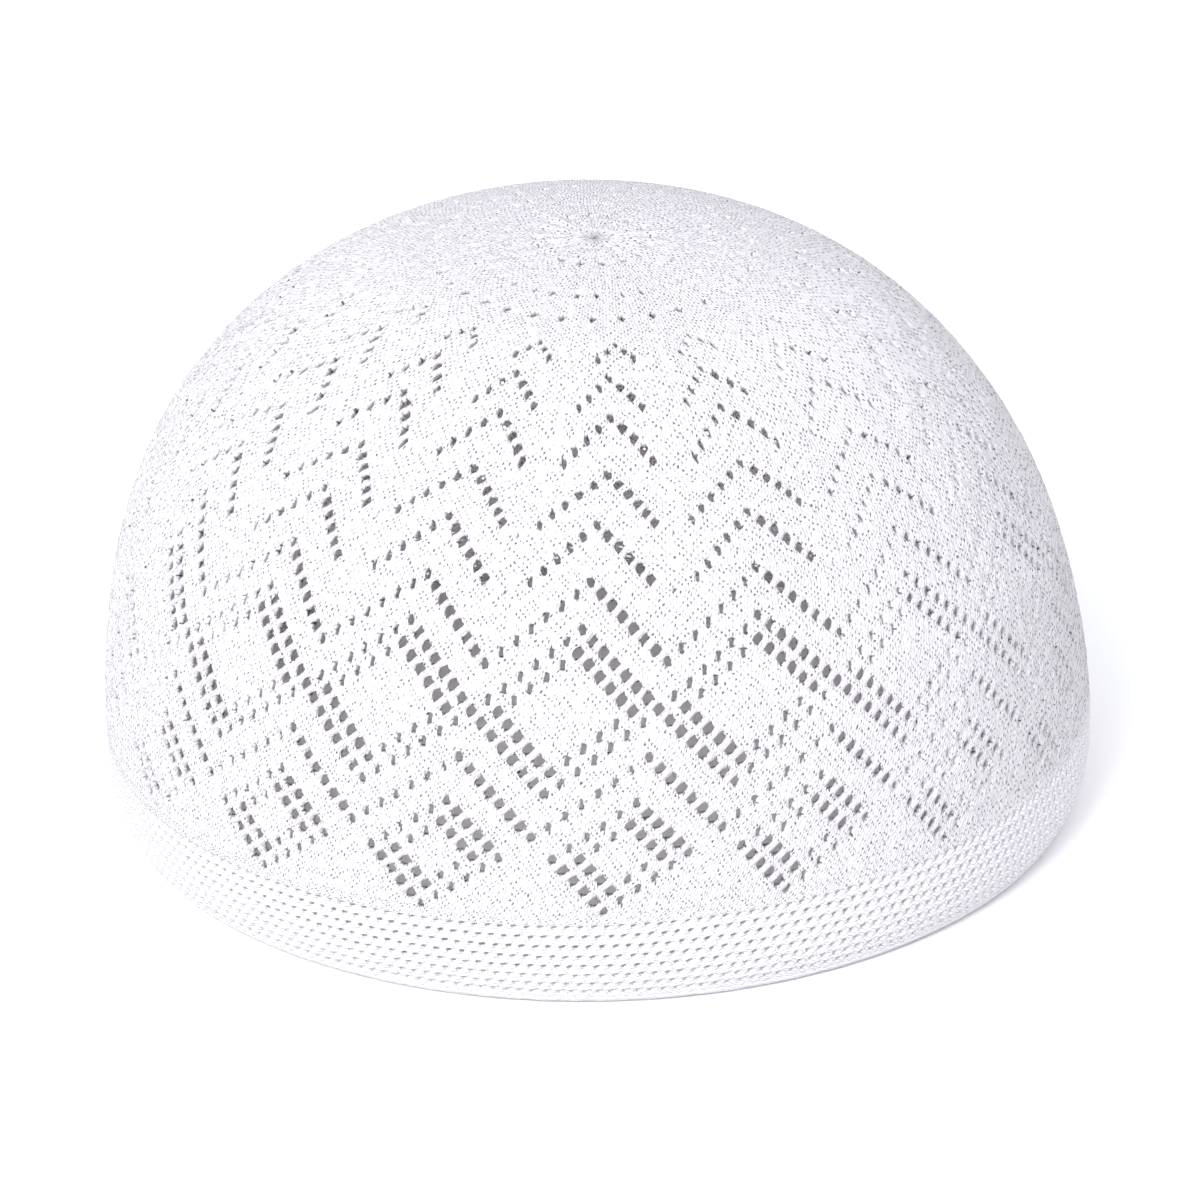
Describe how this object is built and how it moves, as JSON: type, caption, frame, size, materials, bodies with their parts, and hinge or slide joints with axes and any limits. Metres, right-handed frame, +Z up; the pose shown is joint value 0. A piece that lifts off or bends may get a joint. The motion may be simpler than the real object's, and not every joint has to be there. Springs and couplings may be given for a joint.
{
  "type": "kufi",
  "caption": "Round brimless knitted cap with a rounded crown, openwork diamonds and zigzags, and a net band at the rim; it is worn on the head.",
  "frame": {"origin": "centre of the rim, in the plane that the rim rests on", "axes": "+Z up through the crown, -Y towards the front, +X towards the wearer's left"},
  "size_m": [0.181, 0.18, 0.1113],
  "materials": {
    "white_cotton_knit": "matt white cotton yarn, knitted in openwork"
  },
  "bodies": {
    "root": {"cap_shell": "white_cotton_knit"}
  },
  "joints": []
}
